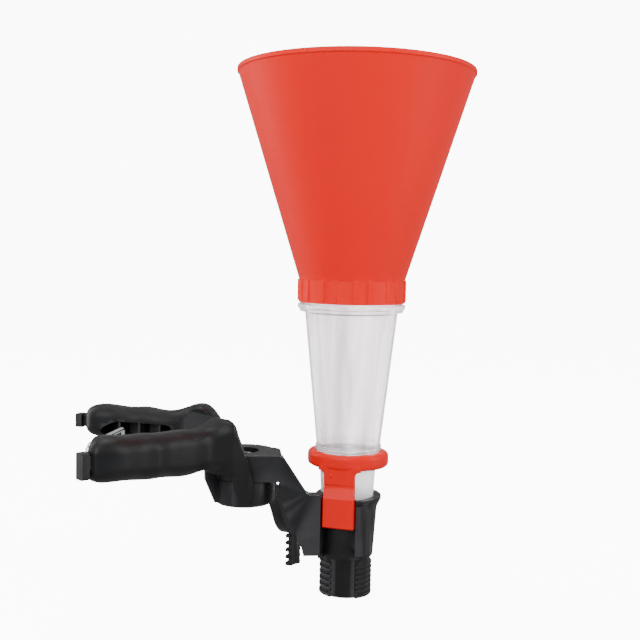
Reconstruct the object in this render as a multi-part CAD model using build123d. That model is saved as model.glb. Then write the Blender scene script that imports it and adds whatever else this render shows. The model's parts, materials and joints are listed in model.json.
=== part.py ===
"""Oil-filling funnel on a plier clamp: cone, clear cup with a twist valve, and a two-lever clamp."""
from build123d import *
import os
from math import cos, pi, radians, sin

os.makedirs("parts", exist_ok=True)

# ---- frame: origin at the centre of the nose's lower end, +Z up the funnel's axis ----

# Clearances
GAP = 0.3                   # between pieces that move past each other
RUNNING = 0.06              # radial clearance of a turning fit

# Funnel cone and its ribbed cap band
RIM_R = 70.0
RIM_TOP = 312.0
RIM_LAND = 3.0              # short upright edge at the mouth
CONE_FOOT_Z = 192.0
CONE_FOOT_R = 31.8
CONE_WALL = 2.0
BAND_R = 31.6
BAND_LO = 176.0
BAND_HI = 190.0
BAND_BORE_R = 29.9
GRIP_RIB_H = 0.8
GRIP_GROUPS = 10
RIBS_PER_GROUP = 2
RIB_PITCH_DEG = 14.0
FIRST_GROUP_DEG = 10.0
THROAT_R = 25.8

# Clear cup
FLANGE_R = 32.0
FLANGE_LO = 170.6
FLANGE_HI = 175.0
NECK_R = 27.8
NECK_TOP = 188.0
CUP_TOP_R = 27.6
CUP_TOP_Z = 169.5
CUP_LOW_R = 19.3
CUP_LOW_Z = 92.0
CUP_WALL = 1.6
FOOT_R = 19.9
BOSS_R = 18.6
CUP_FLOOR_LO = 82.6
CUP_FLOOR_HI = 84.8

# Screw thread between cup neck and cap band
THREAD_PITCH = 4.0
THREAD_TURNS = 1.5
THREAD_ROOT_W = 1.5
THREAD_CREST_W = 0.8
MALE_CREST_R = 29.1
FEMALE_CREST_R = 28.4

# Twist valve
PORT_R_IN = 5.2
PORT_R_OUT = 14.6
PORT_DEG = 82.0
SCREW_R = 2.0
SCREW_HEAD_R = 3.8

# Red ring and its tongue
RING_R = 21.2               # red ring, front to back
RING_EAR_R = 24.6           # and across its two thumb lobes
RING_LO = 77.8
RING_HI = 87.0
TONGUE_AZ = -106.0          # direction that the tongue faces
TONGUE_W = 18.4
TONGUE_LO = 43.6
CUP_SEAT_R = 19.2           # recess of the ring under the cup's foot
TONGUE_IN = 17.5            # distance of the tongue's back from the axis
TONGUE_STEP_LO = 61.3
TONGUE_STEP_HI = 66.6
TONGUE_THIN = 19.9
TONGUE_THICK = 21.6
TONGUE_FILLET = 3.5

# Translucent spout: a taper that nests in the collar
SPOUT_R_60 = 15.8           # outside radius at z = 60
SPOUT_TAPER = 0.06          # radius gained per millimetre of height
SPOUT_WALL = 1.8
SPOUT_TIP_Z = 26.0
SPOUT_FLANGE_R = 18.8
FLANGE_SEAT_Z = 79.2
SEAT_LO = 80.2
SEAT_HI = 81.3
O_RING_Z = (33.0, 38.0)
O_RING_WIRE = 1.4

# Collar and ribbed nose of the tube lever
NOSE_BASE_R = 14.9
NOSE_RIB_R = 15.9
NOSE_BORE_R = 12.4
NOSE_TOP = 24.0
COLLAR_TOP = 60.0
WEB_TOP = 63.2
WEB_BACK = -9.2
CHANNEL_R = 17.1
CHANNEL_FOOT = 26.0
CHEEK_LO = 27.0
CHANNEL_W = 19.8
FINE_RIB_PITCH = 3.0
COARSE_RIB_PITCH = 3.75

# Pivot of the two levers
PIVOT = (-62.0, -6.0)
HUB_R = 18.4
HUB_TOP = 86.5
SPLIT_Z = 71.0
HUB_BOTTOM = 55.6
SLEEVE_R = 5.5
BOLT_R = 4.0
BOLT_HEAD_R = 7.2
ARM_A_AZ = 5.5              # tube arm, seen from the pivot
ARM_B_AZ = 60.8             # finger arm, at rest
HANDLE_A_AZ = 163.0
HANDLE_B_AZ = 224.0
CLOSE_DEG = 35.0            # travel of the squeeze lever
BOLT_SEAT = 79.6
NUT_SEAT = 60.6
SPRING_FLOOR = 62.2
SPRING_R = 9.9
SPRING_WIRE_R = 0.9
SPRING_PITCH = 2.0
SPRING_TURNS = 3.25
SPRING_LOW = 63.3

# Handles and latch
NEAR_TAB_END = 111.3
FAR_TAB_END = 113.4
NEAR_TAB_Z = 92.4
FAR_TAB_Z = 96.6
NEAR_NECK_Z = 94.3
FAR_NECK_Z = 96.4
NEAR_TAB_H = 14.3
FAR_TAB_H = 8.5
WIRE_R = 1.25
TAB_LENGTH = 4.3
LATCH_LENGTH = 50.0
LATCH_INNER_H = 11.4
LATCH_Z = 95.3
LATCH_S = 104.6             # hinge point of the latch along the near handle
LATCH_N = -2.0              # and its offset, on the inner side
LATCH_AZ = 80.0

# Finger of the squeeze lever
FINGER_AT = (-32.6, 46.6)
FINGER_AZ = 136.0           # direction that the finger's ribbed face looks
FINGER_R = 15.2
FINGER_T = 2.8
FINGER_HALF_DEG = 18.0
FINGER_RIB_PITCH = 4.6
FINGER_RIB_WRAP_DEG = 2.5


def ring(r_out, r_in, z_lo, z_hi):
    """Plain ring about the Z axis."""
    height = z_hi - z_lo
    body = Pos(0, 0, z_lo + height / 2) * Cylinder(r_out, height)
    return body - Pos(0, 0, z_lo + height / 2) * Cylinder(r_in, height + 2)


def turned(points, start=0.0, arc=360.0):
    """Solid of revolution about Z from (radius, height) points."""
    face = make_face(Plane.XZ * Polyline(*points, close=True))
    return Rot(0, 0, start) * revolve(face, Axis.Z, revolution_arc=arc)


def sector(r_in, r_out, start, end, z_lo, z_hi):
    """Part of a ring between two directions, in degrees."""
    return turned([(r_in, z_lo), (r_out, z_lo), (r_out, z_hi), (r_in, z_hi)], start, end - start)


def block(x_lo, x_hi, y_lo, y_hi, z_lo, z_hi):
    """Box from its limits."""
    size = (x_hi - x_lo, y_hi - y_lo, z_hi - z_lo)
    centre = ((x_lo + x_hi) / 2, (y_lo + y_hi) / 2, (z_lo + z_hi) / 2)
    return Pos(*centre) * Box(*size)


def rod(radius, z_lo, z_hi):
    """Upright cylinder on the Z axis."""
    return Pos(0, 0, (z_lo + z_hi) / 2) * Cylinder(radius, z_hi - z_lo)


def side_plate(outline, y_lo, y_hi):
    """Extrude a closed (x, z) outline from y_lo to y_hi."""
    face = make_face(Plane.XZ * outline)
    return Pos(0, y_lo, 0) * extrude(face, amount=y_hi - y_lo, dir=(0, 1, 0))


def at_pivot(azimuth):
    """Place a lever-local shape: X along the azimuth, origin on the pivot's axis."""
    return Pos(PIVOT[0], PIVOT[1], 0) * Rot(0, 0, azimuth)


def on_axis(azimuth):
    """Turn a shape about the funnel's axis."""
    return Rot(0, 0, azimuth)


def spout_radius(z):
    """Outside radius of the spout's taper."""
    return SPOUT_R_60 + SPOUT_TAPER * (z - 60.0)


def save(shape, node):
    """Write one named piece."""
    shape = shape if isinstance(shape, Compound) else Compound(children=[shape])
    solids = shape.solids()
    export_step(solids[0] if len(solids) == 1 else Compound(children=list(solids)), f"parts/{node}.step")


# ---- funnel ----

def thread(base_r, crest_r, z_start, phase_deg):
    """One helical ridge, rooted at base_r and reaching crest_r."""
    height = THREAD_PITCH * THREAD_TURNS
    path = Helix(pitch=THREAD_PITCH, height=height, radius=base_r)
    half_root = THREAD_ROOT_W / 2
    half_crest = THREAD_CREST_W / 2
    corners = [(base_r, -half_root), (crest_r, -half_crest), (crest_r, half_crest), (base_r, half_root)]
    face = make_face(Plane.XZ * Polyline(*corners, close=True))
    return Pos(0, 0, z_start) * Rot(0, 0, phase_deg) * sweep(face, path=path, is_frenet=True)


def funnel_cone():
    """Cone with its screw-on band, one moulding."""
    slope = (RIM_R - 0.8 - CONE_FOOT_R) / (RIM_TOP - RIM_LAND - CONE_FOOT_Z)
    land_z = RIM_TOP - RIM_LAND
    outline = [
        (BAND_BORE_R, BAND_LO), (BAND_R, BAND_LO), (BAND_R, BAND_HI - 0.8), (BAND_R + 0.8, CONE_FOOT_Z),
        (RIM_R - 0.8, land_z), (RIM_R, land_z + 0.6), (RIM_R, RIM_TOP - 0.4), (RIM_R - 0.4, RIM_TOP),
        (RIM_R - CONE_WALL, RIM_TOP), (RIM_R - 0.8 - CONE_WALL - slope * 0.6, land_z - 0.6),
        (CONE_FOOT_R - CONE_WALL + slope * 1.5, CONE_FOOT_Z + 1.5), (THROAT_R, CONE_FOOT_Z),
        (THROAT_R, BAND_HI), (BAND_BORE_R, BAND_HI),
    ]
    body = turned(outline)
    rib = block(BAND_R - 0.4, BAND_R + GRIP_RIB_H, -1.0, 1.0, BAND_LO + 0.8, BAND_HI - 0.6)
    for group in range(GRIP_GROUPS):
        for step in range(RIBS_PER_GROUP):
            offset = (step - (RIBS_PER_GROUP - 1) / 2) * RIB_PITCH_DEG
            azimuth = -90 + FIRST_GROUP_DEG + group * 360 / GRIP_GROUPS + offset
            body += on_axis(azimuth) * rib
    lead = 180.0
    body += thread(BAND_BORE_R + 0.3, FEMALE_CREST_R, 179.0, lead)
    return body


def funnel_gasket():
    """Flat seal between the cup's mouth and the funnel's ledge."""
    return ring(28.6, THROAT_R, NECK_TOP + 0.15, BAND_HI - 0.15)


# ---- clear cup and twist valve ----

def port_pair(z_lo, z_hi, start):
    """Two opposite sector openings."""
    first = sector(PORT_R_IN, PORT_R_OUT, start, start + PORT_DEG, z_lo, z_hi)
    return first + Rot(0, 0, 180) * first


def clear_cup():
    """Tapered cup with a threaded neck, a flange and a ported floor."""
    inner_slope = (CUP_TOP_R - CUP_LOW_R) / (CUP_TOP_Z - CUP_LOW_Z)
    inner_low = CUP_LOW_R - CUP_WALL - inner_slope * (CUP_LOW_Z - CUP_FLOOR_HI)
    neck_bore = NECK_R - 1.8
    outline = [
        (SCREW_R + 0.2, CUP_FLOOR_LO), (BOSS_R, CUP_FLOOR_LO), (BOSS_R, 87.4), (FOOT_R - 0.3, 87.4),
        (FOOT_R, 87.8), (FOOT_R, 88.7), (FOOT_R - 0.5, 89.1), (FOOT_R - 0.1, 89.6), (FOOT_R - 0.1, 90.3),
        (CUP_LOW_R, 91.0), (CUP_LOW_R, CUP_LOW_Z), (CUP_TOP_R, CUP_TOP_Z), (CUP_TOP_R + 0.6, FLANGE_LO),
        (FLANGE_R - 1.2, FLANGE_LO), (FLANGE_R - 0.9, 172.2), (FLANGE_R, 172.6), (FLANGE_R, 174.6),
        (FLANGE_R - 0.4, FLANGE_HI), (NECK_R, FLANGE_HI), (NECK_R, NECK_TOP), (neck_bore, NECK_TOP),
        (neck_bore, CUP_TOP_Z + 3.0), (CUP_TOP_R - CUP_WALL, CUP_TOP_Z), (inner_low, CUP_FLOOR_HI),
        (SCREW_R + 0.2, CUP_FLOOR_HI),
    ]
    body = turned(outline) - ring(BOSS_R + 1, BOSS_R - 1.0, 84.6, 86.2)
    body += thread(NECK_R - 0.3, MALE_CREST_R, 179.0, 0.0)
    return body - port_pair(CUP_FLOOR_LO - 1, CUP_FLOOR_HI + 1, 4.0 + TONGUE_AZ)


def cup_o_ring():
    """Ring seal round the cup's boss, inside the red ring."""
    return Pos(0, 0, 85.4) * Torus(BOSS_R - 0.25, 0.7)


def valve_gasket():
    """Soft disc with ports, fixed on the spout's seat."""
    disc = ring(17.6, SCREW_R + 0.3, SEAT_HI, CUP_FLOOR_LO - 0.15)
    return disc - port_pair(80, 84, 94.0 + TONGUE_AZ)


def valve_ring():
    """Red ring with two thumb lobes and the tongue that keys it to the clamp."""
    height = RING_HI - RING_LO
    body = Pos(0, 0, RING_LO) * extrude(Ellipse(RING_R, RING_EAR_R), amount=height)
    body = fillet(body.edges(), 2.8)
    body -= rod(CUP_SEAT_R, RING_LO + 1.3, RING_HI + 1)
    body -= rod(TONGUE_IN - 0.3, RING_LO - 1, RING_HI)
    half = TONGUE_W / 2
    side = Polyline(
        (TONGUE_IN, TONGUE_LO), (TONGUE_THICK - 0.8, TONGUE_LO), (TONGUE_THICK, TONGUE_LO + 0.8),
        (TONGUE_THICK, TONGUE_STEP_LO), (TONGUE_THIN, TONGUE_STEP_HI), (TONGUE_THIN, RING_LO + 3.0),
        (TONGUE_IN, RING_LO + 3.0), close=True)
    tongue = side_plate(side, -half, half)
    root = half + TONGUE_FILLET
    gussets = block(TONGUE_IN, TONGUE_THIN, -root, root, RING_LO - TONGUE_FILLET, RING_LO + 2.0)
    for edge_y in (-root, root):
        hollow = Pos(TONGUE_IN, edge_y, RING_LO - TONGUE_FILLET) * Rot(0, 90, 0)
        gussets -= hollow * Cylinder(TONGUE_FILLET, 20)
    tongue += gussets
    tongue -= rod(CUP_SEAT_R, RING_LO + 1.3, RING_HI + 1)
    tongue -= Pos(TONGUE_THIN + 1.7, 0, TONGUE_STEP_HI + 1.5) * Rot(90, 0, 0) * Cylinder(2.3, TONGUE_W + 1)
    tongue += Pos(TONGUE_THIN, -half + 4.4, 74.6) * Sphere(0.9)
    return on_axis(TONGUE_AZ) * (body + tongue)


def spout():
    """Translucent tapered tube with a flange at its top."""
    tip_r = spout_radius(SPOUT_TIP_Z)
    shoulder_z = 75.6
    top_r = spout_radius(shoulder_z)
    outline = [
        (tip_r - SPOUT_WALL, SPOUT_TIP_Z), (tip_r - 0.4, SPOUT_TIP_Z), (tip_r, SPOUT_TIP_Z + 0.6),
        (top_r, shoulder_z), (16.9, 76.4), (16.9, FLANGE_SEAT_Z), (SPOUT_FLANGE_R, FLANGE_SEAT_Z),
        (SPOUT_FLANGE_R, SEAT_LO), (top_r - SPOUT_WALL, SEAT_LO),
    ]
    body = turned(outline)
    for z in O_RING_Z:
        body -= ring(spout_radius(z) + 1.0, spout_radius(z) - 1.2, z - 0.9, z + 0.9)
    return body


def valve_seat():
    """Ported disc with the screw's boss, trapped between the spout's flange and the gasket."""
    disc = turned([(SCREW_R, 73.8), (4.6, 73.8), (4.6, SEAT_LO), (SPOUT_FLANGE_R - 0.1, SEAT_LO),
                   (SPOUT_FLANGE_R - 0.1, SEAT_HI), (SCREW_R, SEAT_HI)])
    return disc - port_pair(SEAT_LO - 1, SEAT_HI + 1, 94.0 + TONGUE_AZ)


def spout_o_rings():
    """Two O-rings in the spout's grooves, running in the collar's bore."""
    rings = []
    for z in O_RING_Z:
        centre_r = spout_radius(z) + GAP - RUNNING - O_RING_WIRE / 2
        rings.append(Pos(0, 0, z) * Torus(centre_r, O_RING_WIRE / 2))
    return Compound(children=rings)


def valve_screw():
    """Pan-head screw that holds the cup down on the valve seat."""
    head = turned([(0, 86.2), (SCREW_HEAD_R, 86.2), (SCREW_HEAD_R, 87.6), (2.6, 88.8), (0, 88.8)])
    slot = block(-2.4, 2.4, -0.4, 0.4, 87.8, 90) + block(-0.4, 0.4, -2.4, 2.4, 87.8, 90)
    shank = Pos(0, 0, 79.6) * Cylinder(SCREW_R, 13.2)
    return head - slot + shank


def wave_washer():
    """Thin spring washer under the screw's head."""
    return ring(4.4, SCREW_R + 0.15, CUP_FLOOR_HI + 0.1, 86.1)


# ---- tube lever: collar, nose, arm, upper knuckle and rear handle ----

def rib_stack(r_in, r_out, start, end, pitch):
    """Horizontal grip ribs over one sector; the lowest is flush with the lower end."""
    ribs = []
    thick = 0.5 * pitch
    count = int((NOSE_TOP - 0.6) / pitch)
    for index in range(count):
        z = index * pitch
        foot = [(r_in, 0.0), (r_out, 0.0)] if index == 0 else [
            (r_in, z - 0.1), (r_out - 0.3, z), (r_out, z + 0.25 * thick)]
        outline = foot + [(r_out, z + 0.75 * thick), (r_out - 0.3, z + thick), (r_in, z + thick + 0.1)]
        ribs.append(turned(outline, start, end - start))
    return ribs


def collar_and_nose():
    """Tapered collar with its tongue channel, above the ribbed nose."""
    body = turned([
        (0, 0.6), (0, 0), (NOSE_BASE_R - 0.8, 0), (NOSE_BASE_R, 0.8), (NOSE_BASE_R, NOSE_TOP - 0.6),
        (16.3, NOSE_TOP - 0.4), (16.9, 32.0), (18.2, 53.0), (18.8, 57.0), (18.8, COLLAR_TOP),
        (0, COLLAR_TOP)])
    body += turned([(17.0, 50.0), (18.3, 53.0), (19.3, 55.5), (20.6, 58.0), (20.6, COLLAR_TOP - 0.3),
                    (20.2, COLLAR_TOP), (17.0, COLLAR_TOP)], -78.0, 150.0)
    half = CHANNEL_W / 2
    cheek = Polyline((0, half), (17.6, half), (17.2, 12.6), (13.4, 15.4), (8.0, 16.6), (0, 16.4), close=True)
    rails = Pos(0, 0, CHEEK_LO) * extrude(make_face(cheek), amount=57.0 - CHEEK_LO, dir=(0, 0, 1))
    rails += block(6, 18.4, -half - 2.6, -half, NOSE_TOP, 58.0)
    body += on_axis(TONGUE_AZ) * rails
    body += sector(13.0, 15.5, -124.0, -71.0, 0.4, NOSE_TOP)
    for rib in rib_stack(13.5, NOSE_RIB_R, -69.0, 103.0, FINE_RIB_PITCH):
        body += rib
    for rib in rib_stack(13.5, NOSE_RIB_R, 125.0, 234.0, COARSE_RIB_PITCH):
        body += rib
    return body


def channel_cut():
    """Space in front of the collar that the tongue slides in."""
    half = CHANNEL_W / 2
    cut = block(2, 40, -half, half, CHANNEL_FOOT, 90.0) - rod(CHANNEL_R, 20, 100)
    return on_axis(TONGUE_AZ) * cut


def collar_bore():
    """Bore that follows the spout's taper, with a step down to the nose."""
    seat_z = SPOUT_TIP_Z - 0.6
    return turned([(0, -1), (NOSE_BORE_R, -1), (NOSE_BORE_R, seat_z), (spout_radius(seat_z) + GAP, seat_z),
                   (spout_radius(59.0) + GAP, 59.0), (spout_radius(59.0) + GAP + 0.7, COLLAR_TOP + 0.1),
                   (spout_radius(59.0) + GAP + 0.7, COLLAR_TOP + 1), (0, COLLAR_TOP + 1)])


def arm_a():
    """Flat-faced arm from the upper knuckle down to the collar."""
    lower_edge = Spline((34.9, 27.2), (31.2, 38.0), (26.6, 47.5), (21.6, 60.0), (20.2, SPLIT_Z + GAP))
    frame_line = Polyline((20.2, SPLIT_Z + GAP), (0, SPLIT_Z + GAP), (0, HUB_TOP), (20.0, HUB_TOP),
                          (22.4, 85.2), (36.0, 64.6), (38.2, WEB_TOP), (47.2, WEB_TOP), (47.2, 27.2),
                          (34.9, 27.2))
    outline = Wire([*lower_edge.edges(), *frame_line.edges()])
    plate = side_plate(outline, -HUB_R, WEB_BACK)
    pocket = Polyline((37.4, 31.0), (45.5, 31.0), (45.5, 60.0), (36.4, 60.0), (27.0, 72.0), (24.6, 66.0),
                      (28.6, 52.0), close=True)
    head = block(0, 21.5, WEB_BACK - 1, 9.0, SPLIT_Z + GAP, HUB_TOP)
    head = fillet(head.edges().filter_by(Axis.Z).sort_by(Axis.X)[-2:].sort_by(Axis.Y)[-1], 8.0)
    return plate - side_plate(pocket, -15.2, WEB_BACK + 1) + head


GRIP_B = [
    # along handle, inner side, outer side, bottom, top, corner radius
    (105.8, -1.5, 4.6, 87.0, 100.0, 2.6),
    (104.6, -5.5, 7.0, 84.4, 103.4, 5.0),
    (100.0, -9.2, 9.0, 82.4, 106.2, 7.6),
    (90.0, -9.6, 10.7, 81.8, 106.3, 8.6),
    (79.0, -9.6, 9.8, 80.7, 105.2, 8.2),
    (68.0, -9.6, 10.8, 79.8, 104.7, 8.6),
    (57.0, -9.6, 9.8, 79.0, 104.0, 8.2),
    (46.0, -9.6, 10.8, 78.3, 104.0, 8.6),
    (35.0, -9.4, 9.8, 79.3, 103.6, 7.8),
    (24.0, -9.0, 14.0, 78.0, 107.4, 8.0),
    (15.5, -8.0, 12.5, 76.0, 104.0, 7.0),
]

GRIP_A = [
    (105.8, -1.5, 4.0, 92.5, 100.5, 2.4),
    (104.4, -5.0, 6.6, 90.4, 104.6, 4.6),
    (100.0, -8.4, 8.6, 88.4, 107.2, 7.0),
    (90.0, -8.8, 10.4, 88.0, 107.8, 7.6),
    (79.0, -8.8, 8.9, 87.8, 107.3, 7.2),
    (68.0, -8.8, 10.4, 87.6, 107.8, 7.6),
    (57.0, -8.8, 8.9, 87.4, 107.2, 7.2),
    (46.0, -8.8, 10.2, 86.8, 107.4, 7.4),
    (32.0, -8.6, 12.0, 84.0, 112.0, 7.6),
    (22.0, -8.2, 11.0, 78.0, 108.5, 7.0),
    (11.0, -7.6, 9.0, 73.0, 95.0, 5.0),
]


def grip(stations):
    """Smooth grip through rounded sections, in lever-local axes with +Y outside."""
    sections = []
    for along, inner, outer, low, high, corner in stations:
        plane = Plane(origin=(along, (inner + outer) / 2, (low + high) / 2), x_dir=(0, 1, 0), z_dir=(1, 0, 0))
        sections.append(plane * RectangleRounded(outer - inner, high - low, corner))
    return loft(sections)


def grip_hollow(z_lo, z_hi):
    """Channel on the grip's inner side, crossed by thin ribs; its tip end comes to a rounded point."""
    root_end = Polyline((90.0, z_lo), (44.0, z_lo), (44.0, z_hi - 1.5), (47.0, z_hi), (78.0, z_hi))
    tip_end = Spline((78.0, z_hi), (87.0, z_hi - 2.4), (92.5, z_lo + 1.6), (90.0, z_lo))
    mouth = Wire([*root_end.edges(), *tip_end.edges()])
    hollow = side_plate(mouth, -14.0, 5.2)
    for along in (53.0, 66.5, 80.0):
        hollow -= block(along - 0.7, along + 0.7, -7.0, 6.0, z_lo - 1, z_hi + 1)
    return hollow


def tab(height, z_mid, end, neck_from, neck_z):
    """Latch tab at the handle's end with its narrow neck."""
    notch = LATCH_N + WIRE_R + 0.4
    start = end - TAB_LENGTH
    neck = block(neck_from, start + 1.0, notch, 4.2, neck_z - 3.3, neck_z + 3.3)
    plate = block(start, end, -2.6, 4.2, z_mid - height / 2, z_mid + height / 2)
    plate = fillet(plate.edges().filter_by(Axis.X), 1.0)
    return neck + plate


def closing_trim():
    """Material past the plane where the two levers meet when squeezed shut."""
    half_open = (HANDLE_B_AZ - CLOSE_DEG - HANDLE_A_AZ) / 2
    return Rot(0, 0, -half_open) * block(0, 140, -60, GAP + 0.1, 40, 130)


def tube_lever():
    """The clamp's fixed lever: nose, collar, arm, upper knuckle and rear handle."""
    low = SPLIT_Z + GAP
    knuckle = Pos(0, 0, (low + HUB_TOP) / 2) * Cylinder(HUB_R, HUB_TOP - low)
    handle = grip(GRIP_A) - grip_hollow(90.2, 99.4)
    handle += tab(FAR_TAB_H, FAR_TAB_Z, FAR_TAB_END, 98.0, FAR_NECK_Z)
    handle -= closing_trim()
    handle -= block(-60, 60, -60, 60, 30, low)
    handle -= Pos(0, 0, 110) * Cylinder(BOLT_HEAD_R + 3.0, 2 * (110 - HUB_TOP))
    body = at_pivot(ARM_A_AZ) * (knuckle + arm_a())
    body += at_pivot(HANDLE_A_AZ) * mirror(handle, about=Plane.XZ)
    body += collar_and_nose()
    body -= collar_bore()
    body -= channel_cut()
    body -= at_pivot(0) * rod(SLEEVE_R, low - 1, HUB_TOP)
    body -= at_pivot(0) * rod(BOLT_HEAD_R + 1.4, BOLT_SEAT, 120)
    body -= at_pivot(0) * spring_hole(low - 1, 76.0, SPRING_TURNS)
    return body


# ---- squeeze lever: near handle, lower knuckle, arm and ribbed finger ----

def root_shell():
    """Shell that carries the near handle round the front of the upper knuckle."""
    clear_r = HUB_R + 0.5
    profile = [(17.4, 57.2), (19.8, 57.2), (26.4, 72.0), (26.8, 84.0), (26.4, 100.0), (24.0, 106.2),
               (clear_r, 106.2), (clear_r, SPLIT_Z - 0.2), (17.4, SPLIT_Z - 0.2)]
    shell = at_pivot(0) * turned(profile, 210.0, 76.0)
    flank = Spline((-73.0, 109.0), (-63.6, 97.7), (-60.4, 89.0), (-56.8, 80.0), (-55.4, 69.0), (-57.4, 60.0),
                   (-59.0, 50.0))
    edge = Polyline((-59.0, 50.0), (-30.0, 50.0), (-30.0, 109.0), (-73.0, 109.0))
    shell -= side_plate(Wire([*flank.edges(), *edge.edges()]), -60, 10)
    arm_front = HUB_R + GAP + 0.1
    shell -= at_pivot(ARM_A_AZ) * block(0, 40, -arm_front, 20, SPLIT_Z - 0.2, 110)
    return shell - at_pivot(0) * sector(HUB_R + 0.2, 40, 217.0, 260.0, 40, 76.5)


def finger():
    """Curved finger that spreads inside the filler neck, ribbed on its outer face."""
    half = FINGER_HALF_DEG
    shell = sector(FINGER_R - FINGER_T, FINGER_R, FINGER_AZ - half, FINGER_AZ + half, 0.0, 27.0)
    wrap = half + FINGER_RIB_WRAP_DEG
    ribs = rib_stack(FINGER_R - FINGER_T + 0.8, FINGER_R + 1.7, FINGER_AZ - wrap, FINGER_AZ + wrap,
                     FINGER_RIB_PITCH)
    for rib in ribs:
        shell += rib
    centre_r = FINGER_R - FINGER_T / 2
    centre_x = FINGER_AT[0] - centre_r * cos(radians(FINGER_AZ))
    centre_y = FINGER_AT[1] - centre_r * sin(radians(FINGER_AZ))
    return Pos(centre_x, centre_y, 0) * shell


def arm_b():
    """Flat arm from the lower knuckle down to the finger."""
    lower_edge = Spline((54.5, 22.0), (47.0, 28.0), (39.5, 42.0), (31.0, 52.5), (20.0, 57.5))
    frame_line = Polyline((20.0, 57.5), (6.0, 57.5), (6.0, SPLIT_Z), (25.0, SPLIT_Z), (37.0, 57.0),
                          (50.0, 54.6), (62.0, 54.6), (64.4, 52.2), (64.4, 22.0), (54.5, 22.0))
    return side_plate(Wire([*lower_edge.edges(), *frame_line.edges()]), -1.4, 6.4)


def swing_room():
    """Space above and below the near handle's neck that the latch folds into, and its hinge notch."""
    swing = radians(LATCH_AZ - HANDLE_B_AZ)
    along = (cos(swing), sin(swing))
    off = WIRE_R + 0.35
    foot = (LATCH_S + off * along[1], LATCH_N - off * along[0])
    outer = (foot[0] - 2 * along[0], foot[1] - 2 * along[1])
    inner = (foot[0] + 40 * along[0], foot[1] + 40 * along[1])
    face = make_face(Polyline(outer, inner, (125.0, inner[1]), (125.0, outer[1]), close=True))
    half = LATCH_INNER_H / 2 - GAP - 1.0        # clears the loop's rounded corners
    upper = Pos(0, 0, LATCH_Z + half) * extrude(face, amount=30, dir=(0, 0, 1))
    lower = Pos(0, 0, LATCH_Z - half) * extrude(face, amount=30, dir=(0, 0, -1))
    reach = WIRE_R + 0.4
    notch = block(LATCH_S - reach, 125, -30, LATCH_N + reach, 40, 130)
    return upper + lower + notch


def squeeze_lever():
    """The moving lever of the clamp."""
    knuckle = Pos(0, 0, (HUB_BOTTOM + SPLIT_Z) / 2) * Cylinder(HUB_R, SPLIT_Z - HUB_BOTTOM)
    knuckle = chamfer(knuckle.edges().sort_by(Axis.Z)[0], 2.0)
    handle = grip(GRIP_B) - grip_hollow(84.5, 98.0) - swing_room()
    handle += tab(NEAR_TAB_H, NEAR_TAB_Z, NEAR_TAB_END, 93.0, NEAR_NECK_Z)
    handle -= closing_trim()
    handle -= Pos(0, 0, 95) * Cylinder(HUB_R + 0.5, 60)
    body = at_pivot(0) * knuckle + at_pivot(HANDLE_B_AZ) * handle
    shell = root_shell()
    shell -= at_pivot(HANDLE_B_AZ) * closing_trim()
    body += shell
    body += at_pivot(ARM_B_AZ) * arm_b()
    body += finger()
    body -= at_pivot(0) * rod(SLEEVE_R + RUNNING, HUB_BOTTOM - 1, SPLIT_Z + 1)
    body -= at_pivot(0) * ring(12.4, 7.4, SPRING_FLOOR, SPLIT_Z + 1)
    body -= at_pivot(0) * rod(9.4, HUB_BOTTOM - 1, NUT_SEAT)
    body -= at_pivot(0) * spring_hole(NUT_SEAT - 1, SPRING_FLOOR + 1, 0.0)
    return body


# ---- pivot hardware ----

def spring_end(turns):
    """Centre of the spring's wire, as seen from above, after some turns."""
    angle = 2 * pi * turns
    return SPRING_R * cos(angle), SPRING_R * sin(angle)


def spring_hole(z_lo, z_hi, turns):
    """Hole that holds one leg of the spring."""
    x, y = spring_end(turns)
    return Pos(x, y, (z_lo + z_hi) / 2) * Cylinder(SPRING_WIRE_R + 0.3, z_hi - z_lo)


def torsion_spring():
    """Coil round the pivot sleeve with one leg in each lever."""
    height = SPRING_PITCH * SPRING_TURNS
    path = Helix(pitch=SPRING_PITCH, height=height, radius=SPRING_R)
    start = Plane(origin=path @ 0, z_dir=path % 0)
    coil = Pos(0, 0, SPRING_LOW) * sweep(start * Circle(SPRING_WIRE_R), path=path)
    low_x, low_y = spring_end(0.0)
    top_x, top_y = spring_end(SPRING_TURNS)
    low_leg = Pos(low_x, low_y, 0) * rod(SPRING_WIRE_R, NUT_SEAT + 0.3, SPRING_LOW)
    top_z = SPRING_LOW + height
    top_leg = Pos(top_x, top_y, 0) * rod(SPRING_WIRE_R, top_z, 75.4)
    knees = Pos(low_x, low_y, SPRING_LOW) * Sphere(SPRING_WIRE_R)
    knees += Pos(top_x, top_y, top_z) * Sphere(SPRING_WIRE_R)
    return at_pivot(0) * (coil + low_leg + top_leg + knees)


def pivot_bolt():
    """Button-head bolt through both knuckles."""
    head = turned([(0, BOLT_SEAT + 1.0), (BOLT_HEAD_R, BOLT_SEAT + 1.0), (BOLT_HEAD_R, BOLT_SEAT + 2.4),
                   (BOLT_HEAD_R - 1.4, BOLT_SEAT + 4.4), (BOLT_HEAD_R - 3.2, BOLT_SEAT + 5.2),
                   (0, BOLT_SEAT + 5.2)])
    socket = Pos(0, 0, BOLT_SEAT + 2.6) * extrude(RegularPolygon(2.6, 6), amount=4)
    shank = rod(BOLT_R, HUB_BOTTOM + 0.1, BOLT_SEAT + 1.0)
    return at_pivot(0) * (head - socket + shank)


def head_washer():
    """Washer under the bolt's head."""
    return at_pivot(0) * ring(BOLT_HEAD_R + 1.0, BOLT_R + 0.2, BOLT_SEAT, BOLT_SEAT + 1.0)


def nut_washer():
    """Washer between the sleeve's end and the nut."""
    return at_pivot(0) * ring(BOLT_HEAD_R + 1.0, BOLT_R + 0.2, NUT_SEAT - 1.15, NUT_SEAT - 0.15)


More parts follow.
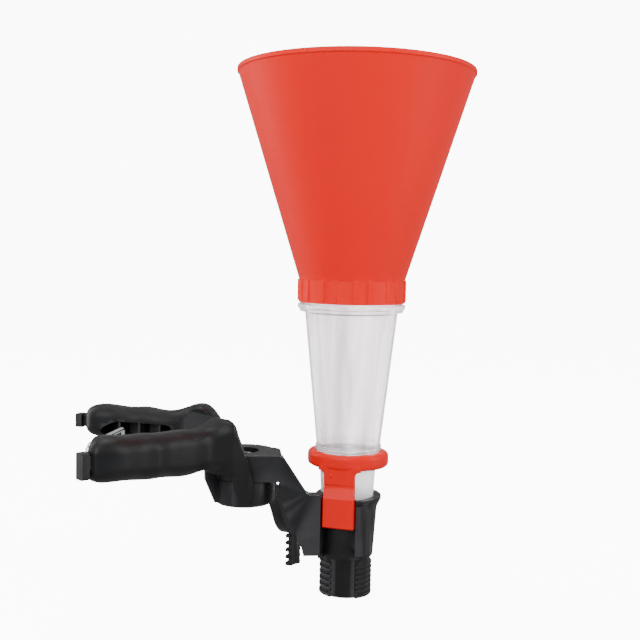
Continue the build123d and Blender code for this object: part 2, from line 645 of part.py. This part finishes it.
def pivot_nut():
    """Hexagon nut in the lower knuckle's recess."""
    top = NUT_SEAT - 1.15
    blank = Pos(0, 0, HUB_BOTTOM + 0.2) * extrude(RegularPolygon(7.5, 6), amount=top - HUB_BOTTOM - 0.2)
    return at_pivot(0) * (blank - rod(BOLT_R, HUB_BOTTOM - 2, top + 2))


def pivot_sleeve():
    """Steel tube that the squeeze lever turns on."""
    return at_pivot(0) * ring(SLEEVE_R, BOLT_R + 0.05, NUT_SEAT - 0.1, BOLT_SEAT)


def knuckle_washer():
    """Low-friction washer between the two knuckles."""
    return at_pivot(0) * ring(17.0, 13.2, SPLIT_Z + 0.02, SPLIT_Z + GAP)


# ---- latch ----

def latch_ring():
    """Wire loop, hinged in the near handle's neck, that hooks over the rear tab."""
    height = LATCH_INNER_H + 2 * WIRE_R
    loop = Plane.XZ * RectangleRounded(LATCH_LENGTH, height, 4.0)
    path = loop.wire()
    wire = sweep(Plane(origin=path @ 0, z_dir=path % 0) * Circle(WIRE_R), path=path)
    wire = Pos(LATCH_LENGTH / 2, 0, LATCH_Z) * wire
    hinge = at_pivot(HANDLE_B_AZ) * Pos(LATCH_S, LATCH_N, 0)
    return hinge * Rot(0, 0, LATCH_AZ - HANDLE_B_AZ) * wire


PIECES = {
    "funnel_cone": funnel_cone,
    "funnel_gasket": funnel_gasket,
    "clear_cup": clear_cup,
    "valve_gasket": valve_gasket,
    "valve_ring": valve_ring,
    "valve_seat": valve_seat,
    "cup_o_ring": cup_o_ring,
    "spout": spout,
    "spout_o_rings": spout_o_rings,
    "valve_screw": valve_screw,
    "valve_wave_washer": wave_washer,
    "tube_lever": tube_lever,
    "squeeze_lever": squeeze_lever,
    "torsion_spring": torsion_spring,
    "pivot_bolt": pivot_bolt,
    "bolt_head_washer": head_washer,
    "nut_washer": nut_washer,
    "pivot_nut": pivot_nut,
    "pivot_sleeve": pivot_sleeve,
    "knuckle_washer": knuckle_washer,
    "latch_ring": latch_ring,
}

for name, make in PIECES.items():
    save(make(), name)
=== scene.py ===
"""Looks of the oil-filling funnel and its clamp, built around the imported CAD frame."""
import json
import math

import bmesh
import bpy
from mathutils import Euler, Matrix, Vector


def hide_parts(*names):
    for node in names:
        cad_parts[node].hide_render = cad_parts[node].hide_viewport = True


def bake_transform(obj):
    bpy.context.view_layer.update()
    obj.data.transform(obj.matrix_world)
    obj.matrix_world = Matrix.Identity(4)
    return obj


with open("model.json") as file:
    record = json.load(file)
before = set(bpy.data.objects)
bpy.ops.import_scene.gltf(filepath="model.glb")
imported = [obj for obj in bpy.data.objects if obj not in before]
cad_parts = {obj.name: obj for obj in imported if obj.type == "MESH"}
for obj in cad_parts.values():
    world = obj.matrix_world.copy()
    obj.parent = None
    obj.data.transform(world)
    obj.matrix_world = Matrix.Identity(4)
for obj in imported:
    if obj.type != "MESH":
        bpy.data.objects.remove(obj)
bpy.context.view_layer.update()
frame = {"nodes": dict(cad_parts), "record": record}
NODES = frame["nodes"]

MM = 0.001

# ---- camera, as the photograph was taken ----
CAMERA_AT = (-18.6 * MM, -573.0 * MM, 207.0 * MM)
CAMERA_PITCH = math.radians(4.2)
CAMERA_ROLL = math.radians(1.2)
CAMERA_LENS = 54.0          # millimetres, as Blender's lenses are
CAMERA_SENSOR = 36.0
CAMERA_CLIP_START = 10 * MM


# ---- small helpers for materials ----

class Nodes:
    """A node material with a Principled shader and short ways to feed it."""

    def __init__(self, name):
        self.material = bpy.data.materials.new(name)
        self.material.use_nodes = True
        self.tree = self.material.node_tree
        self.shader = self.tree.nodes["Principled BSDF"]
        self.place = self.tree.nodes.new("ShaderNodeTexCoord")

    def set(self, **values):
        """Constant values, on the shader's own sockets."""
        for name, value in values.items():
            self.shader.inputs[name.replace("_", " ")].default_value = value

    def node(self, kind, **values):
        """A new node with its input values."""
        made = self.tree.nodes.new(kind)
        for name, value in values.items():
            made.inputs[name.replace("_", " ")].default_value = value
        return made

    def link(self, source, target):
        self.tree.links.new(source, target)

    def noise(self, scale, detail, roughness, stretch=(1.0, 1.0, 1.0)):
        """Noise in object space, stretched along the axes."""
        mapping = self.node("ShaderNodeMapping", Scale=stretch)
        self.link(self.place.outputs["Object"], mapping.inputs["Vector"])
        made = self.node("ShaderNodeTexNoise", Scale=scale, Detail=detail, Roughness=roughness)
        self.link(mapping.outputs["Vector"], made.inputs["Vector"])
        return made.outputs["Fac"]

    def ramp(self, source, *stops):
        """Colour ramp from two (position, colour) stops."""
        made = self.tree.nodes.new("ShaderNodeValToRGB")
        for element, (position, colour) in zip(made.color_ramp.elements, stops):
            element.position = position
            element.color = (*colour, 1.0)
        self.link(source, made.inputs["Fac"])
        return made.outputs["Color"]

    def spread(self, source, low, high):
        """A 0..1 value mapped to low..high."""
        made = self.node("ShaderNodeMapRange", To_Min=low, To_Max=high)
        self.link(source, made.inputs["Value"])
        return made.outputs["Result"]

    def bump(self, source, distance, strength, after=None):
        """Bump from a height, in metres, on top of an earlier one."""
        made = self.node("ShaderNodeBump", Strength=strength, Distance=distance)
        self.link(source, made.inputs["Height"])
        if after is not None:
            self.link(after, made.inputs["Normal"])
        return made.outputs["Normal"]

    def mix(self, factor, first, second):
        """Colour mix of two sources."""
        made = self.tree.nodes.new("ShaderNodeMix")
        made.data_type = "RGBA"
        self.link(factor, made.inputs["Factor"])
        self.link(first, made.inputs["A"])
        self.link(second, made.inputs["B"])
        return made.outputs["Result"]

    def edge_wear(self, low, high):
        """0 on flats and hollows, 1 on worn convex edges."""
        geometry = self.tree.nodes.new("ShaderNodeNewGeometry")
        made = self.node("ShaderNodeMapRange", From_Min=low, From_Max=high)
        self.link(geometry.outputs["Pointiness"], made.inputs["Value"])
        return made.outputs["Result"]

    def feed(self, name, source):
        self.link(source, self.shader.inputs[name])


def black_nylon():
    """Glass-filled nylon: fine spark texture, faint flow marks, edges rubbed lighter."""
    m = Nodes("black_nylon")
    m.set(IOR=1.5, Specular_IOR_Level=0.26)
    mottle = m.noise(60.0, 5.0, 0.6)
    body = m.ramp(mottle, (0.3, (0.004, 0.004, 0.005)), (0.7, (0.009, 0.009, 0.010)))
    rubbed = m.ramp(mottle, (0.3, (0.028, 0.028, 0.031)), (0.7, (0.042, 0.042, 0.046)))
    m.feed("Base Color", m.mix(m.edge_wear(0.52, 0.62), body, rubbed))
    m.feed("Roughness", m.spread(m.noise(140.0, 3.0, 0.6), 0.38, 0.52))
    grain = m.bump(m.noise(2600.0, 2.0, 0.5), 0.06 * MM, 0.5)
    flow = m.bump(m.noise(38.0, 2.0, 0.4), 0.6 * MM, 0.25, after=grain)
    m.feed("Normal", flow)
    return m.material


def red_plastic(name, dark, light, rough_low, rough_high):
    """Injection-moulded polypropylene with a soft sheen and faint flow lines."""
    m = Nodes(name)
    m.set(IOR=1.49, Specular_IOR_Level=0.18, Subsurface_Weight=0.08, Subsurface_Scale=4 * MM)
    m.feed("Base Color", m.ramp(m.noise(14.0, 3.0, 0.5, (1, 1, 0.3)), (0.35, dark), (0.65, light)))
    m.feed("Roughness", m.spread(m.noise(55.0, 4.0, 0.6), rough_low, rough_high))
    grain = m.bump(m.noise(2200.0, 2.0, 0.5), 0.04 * MM, 0.35)
    m.feed("Normal", m.bump(m.noise(22.0, 2.0, 0.4, (1, 1, 0.25)), 0.4 * MM, 0.2, after=grain))
    return m.material


def clear_plastic(name, tint_and_painted_dark_lines, tint_and_painted_highlights, rough_low, rough_high, transmission):
    """Clear polypropylene: slightly milky, with vertical streaks of painted highlight and painted dark
    reflection lines in its colour, and moulding ripples.
    """
    m = Nodes(name)
    m.set(IOR=1.45)
    # Vertical streak noise: in the base colour it paints highlight streaks and dark reflection lines; it also
    # varies the transmission.
    painted_reflection_streaks = m.noise(95.0, 2.0, 0.5, (1, 1, 0.03))
    m.feed("Base Color", m.ramp(painted_reflection_streaks, (0.36, tint_and_painted_dark_lines), (0.62, tint_and_painted_highlights)))
    m.feed("Transmission Weight", m.spread(painted_reflection_streaks, transmission - 0.10, transmission + 0.08))
    m.feed("Roughness", m.spread(m.noise(70.0, 3.0, 0.5), rough_low, rough_high))
    ripple = m.bump(m.noise(60.0, 2.0, 0.4, (1, 1, 0.05)), 0.9 * MM, 0.4)
    m.feed("Normal", m.bump(m.noise(30.0, 2.0, 0.4, (1, 1, 0.15)), 0.5 * MM, 0.25, after=ripple))
    return m.material


def steel(name, dark, light, rough_low, rough_high, stretch):
    """Bright steel with fine drawing marks."""
    m = Nodes(name)
    m.set(Metallic=1.0)
    brushed = m.noise(420.0, 4.0, 0.6, stretch)
    m.feed("Base Color", m.ramp(brushed, (0.3, dark), (0.7, light)))
    m.feed("Roughness", m.spread(brushed, rough_low, rough_high))
    m.feed("Normal", m.bump(brushed, 0.03 * MM, 0.4))
    return m.material


def rubber():
    """Black seal rubber with a dusty bloom."""
    m = Nodes("black_rubber")
    bloom = m.noise(90.0, 5.0, 0.7)
    m.feed("Base Color", m.ramp(bloom, (0.3, (0.012, 0.012, 0.012)), (0.7, (0.028, 0.028, 0.028))))
    m.feed("Roughness", m.spread(m.noise(160.0, 3.0, 0.6), 0.55, 0.75))
    m.feed("Normal", m.bump(m.noise(1500.0, 2.0, 0.5), 0.05 * MM, 0.5))
    return m.material


def pale_silicone():
    """Milky silicone seal."""
    m = Nodes("pale_silicone")
    m.set(IOR=1.41, Subsurface_Weight=0.3, Subsurface_Scale=2 * MM)
    haze = m.noise(60.0, 4.0, 0.6)
    m.feed("Base Color", m.ramp(haze, (0.3, (0.72, 0.70, 0.68)), (0.7, (0.82, 0.80, 0.78))))
    m.feed("Roughness", m.spread(m.noise(150.0, 3.0, 0.6), 0.35, 0.5))
    m.feed("Normal", m.bump(m.noise(1200.0, 2.0, 0.5), 0.04 * MM, 0.4))
    return m.material


def acetal():
    """White acetal with a faint cloudiness."""
    m = Nodes("white_acetal")
    m.set(IOR=1.48, Subsurface_Weight=0.1, Subsurface_Scale=3 * MM)
    cloud = m.noise(50.0, 4.0, 0.6)
    m.feed("Base Color", m.ramp(cloud, (0.3, (0.70, 0.70, 0.67)), (0.7, (0.80, 0.80, 0.78))))
    m.feed("Roughness", m.spread(m.noise(120.0, 3.0, 0.6), 0.30, 0.45))
    m.feed("Normal", m.bump(m.noise(1300.0, 2.0, 0.5), 0.03 * MM, 0.4))
    return m.material


MATERIALS = {
    "black_nylon": black_nylon(),
    "red_plastic": red_plastic(
        "red_plastic", (0.95, 0.003, 0.0005), (1.0, 0.006, 0.001), 0.46, 0.58),
    "red_ring_plastic": red_plastic(
        "red_ring_plastic", (0.80, 0.003, 0.001), (0.88, 0.006, 0.002), 0.32, 0.44),
    "clear_plastic": clear_plastic(
        "clear_plastic", (0.58, 0.54, 0.565), (0.82, 0.79, 0.81), 0.10, 0.20, 0.74),
    "translucent_plastic": clear_plastic(
        "translucent_plastic", (0.72, 0.72, 0.74), (0.86, 0.86, 0.87), 0.32, 0.44, 0.60),
    "white_acetal": acetal(),
    "black_rubber": rubber(),
    "pale_silicone": pale_silicone(),
    "zinc_steel": steel("zinc_steel", (0.52, 0.53, 0.55), (0.68, 0.69, 0.70), 0.22, 0.38, (1, 1, 1)),
    "spring_steel": steel("spring_steel", (0.40, 0.41, 0.43), (0.55, 0.56, 0.58), 0.25, 0.40, (1, 1, 1)),
    "bright_wire": steel("bright_wire", (0.72, 0.73, 0.75), (0.86, 0.87, 0.88), 0.10, 0.22, (1, 1, 0.1)),
}

for part in frame["record"]["subparts"]:
    shown = NODES[part["node"]]
    for slot in shown.material_slots:
        slot.material = MATERIALS[part["material_slot"]]
    if not shown.material_slots:
        shown.data.materials.append(MATERIALS[part["material_slot"]])


# ---- moulded edges on the carried-over parts ----

WELD_DISTANCE = 0.01 * MM
SHARP_ANGLE = math.radians(38)      # edges that turn more than this are rounded
EDGE_SEGMENTS = 2
EDGE_WIDTHS = {"tube_lever": 0.5 * MM, "squeeze_lever": 0.5 * MM, "valve_ring": 0.35 * MM}


def soften(name, width):
    """Weld the facets and round the sharp edges of a CAD node."""
    node = NODES[name]
    weld = node.modifiers.new("weld", "WELD")
    weld.merge_threshold = WELD_DISTANCE
    bevel = node.modifiers.new("edges", "BEVEL")
    bevel.width = width
    bevel.segments = EDGE_SEGMENTS
    bevel.limit_method = "ANGLE"
    bevel.angle_limit = SHARP_ANGLE
    bevel.harden_normals = True


# ---- the pivot spring, copied from its CAD node ----


def winding_spring():
    """The pivot spring: a copy of the CAD spring's mesh, shown in place of the hidden original."""
    node = NODES["torsion_spring"]
    piece = bpy.data.objects.new("pivot_spring", node.data.copy())
    bpy.context.scene.collection.objects.link(piece)
    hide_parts("torsion_spring")
    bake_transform(piece)


# ---- stage ----

def pale(name, colour, roughness, glow):
    """Plain pale paper, lit evenly of itself as a studio sweep is."""
    m = Nodes(name)
    m.set(Base_Color=(*colour, 1.0), Roughness=roughness, Emission_Color=(1.0, 1.0, 1.0, 1.0),
          Emission_Strength=glow)
    return m.material


FLOOR_GLOW = 10.0
FLOOR_RADIUS = 3.0          # metres, where the flat part ends
FLOOR_BEND = 0.9            # radius of the curve between the flat part and the wall
WALL_TOP = 3.4
FLOOR_SIDES = 64
FLOOR_DROP = 0.5 * MM       # how far the floor lies below the nose
BEND_STEPS = 9
WORLD_STRENGTH = 0.58

LIGHT_AIM = (0, 0, 0.15)
LIGHTS = (                  # name, place, width, watts and, for an oblong, height
    ("key", (-0.45, -0.95, 0.70), 0.8, 11.5, 0.9),
    ("right_strip", (0.85, -0.30, 0.30), 0.18, 6.0, 1.0),
    ("left_strip", (-0.80, 0.25, 0.35), 0.20, 4.0, 0.9),
    ("top", (0.0, 0.10, 1.1), 0.6, 6.0, None),
)


def make_floor():
    """Round pale floor whose edge curves up into a wall on every side."""
    quarter = [math.radians(90 * k / BEND_STEPS) for k in range(1, BEND_STEPS + 1)]
    profile = [(FLOOR_RADIUS, 0.0)]
    profile += [(FLOOR_RADIUS + FLOOR_BEND * math.sin(a), FLOOR_BEND * (1 - math.cos(a))) for a in quarter]
    profile.append((FLOOR_RADIUS + FLOOR_BEND, WALL_TOP))
    turns = [2 * math.pi * k / FLOOR_SIDES for k in range(FLOOR_SIDES)]
    mesh = bpy.data.meshes.new("floor")
    build = bmesh.new()
    rings = []
    for radius, z in profile:
        ring = [(radius * math.cos(t), radius * math.sin(t), z - FLOOR_DROP) for t in turns]
        rings.append([build.verts.new(corner) for corner in ring])
    build.faces.new(rings[0])
    for low, high in zip(rings, rings[1:]):
        for k in range(FLOOR_SIDES):
            build.faces.new((low[k], low[k - 1], high[k - 1], high[k]))
    build.to_mesh(mesh)
    build.free()
    mesh.shade_smooth()
    floor = bpy.data.objects.new("floor", mesh)
    floor.visible_diffuse = False
    floor.visible_glossy = False
    bpy.context.scene.collection.objects.link(floor)
    mesh.materials.append(pale("pale_floor", (0.93, 0.93, 0.93), 0.7, FLOOR_GLOW))


def area_light(name, at, size, power, size_y):
    """Soft light at a place, turned to the middle of the funnel."""
    light = bpy.data.lights.new(name, "AREA")
    light.energy = power
    light.size = size
    if size_y:
        light.shape = "RECTANGLE"
        light.size_y = size_y
    lamp = bpy.data.objects.new(name, light)
    lamp.location = at
    lamp.rotation_euler = (Vector(LIGHT_AIM) - Vector(at)).to_track_quat("-Z", "Y").to_euler()
    bpy.context.scene.collection.objects.link(lamp)


def make_world():
    """Even white surroundings."""
    world = bpy.data.worlds.new("studio")
    world.use_nodes = True
    background = world.node_tree.nodes["Background"]
    background.inputs["Color"].default_value = (1.0, 1.0, 1.0, 1.0)
    background.inputs["Strength"].default_value = WORLD_STRENGTH
    bpy.context.scene.world = world


def make_camera():
    """Camera looking along +Y, tipped down and rolled a little."""
    camera = bpy.data.objects.new("camera", bpy.data.cameras.new("camera"))
    camera.data.lens = CAMERA_LENS
    camera.data.sensor_width = CAMERA_SENSOR
    camera.data.clip_start = CAMERA_CLIP_START
    camera.location = CAMERA_AT
    level = Euler((math.pi / 2 - CAMERA_PITCH, 0, 0)).to_matrix()
    camera.rotation_euler = (level @ Euler((0, 0, CAMERA_ROLL)).to_matrix()).to_euler()
    bpy.context.scene.collection.objects.link(camera)
    bpy.context.scene.camera = camera


make_floor()
make_world()
for light in LIGHTS:
    area_light(*light)
make_camera()

for name, width in EDGE_WIDTHS.items():
    soften(name, width)

winding_spring()
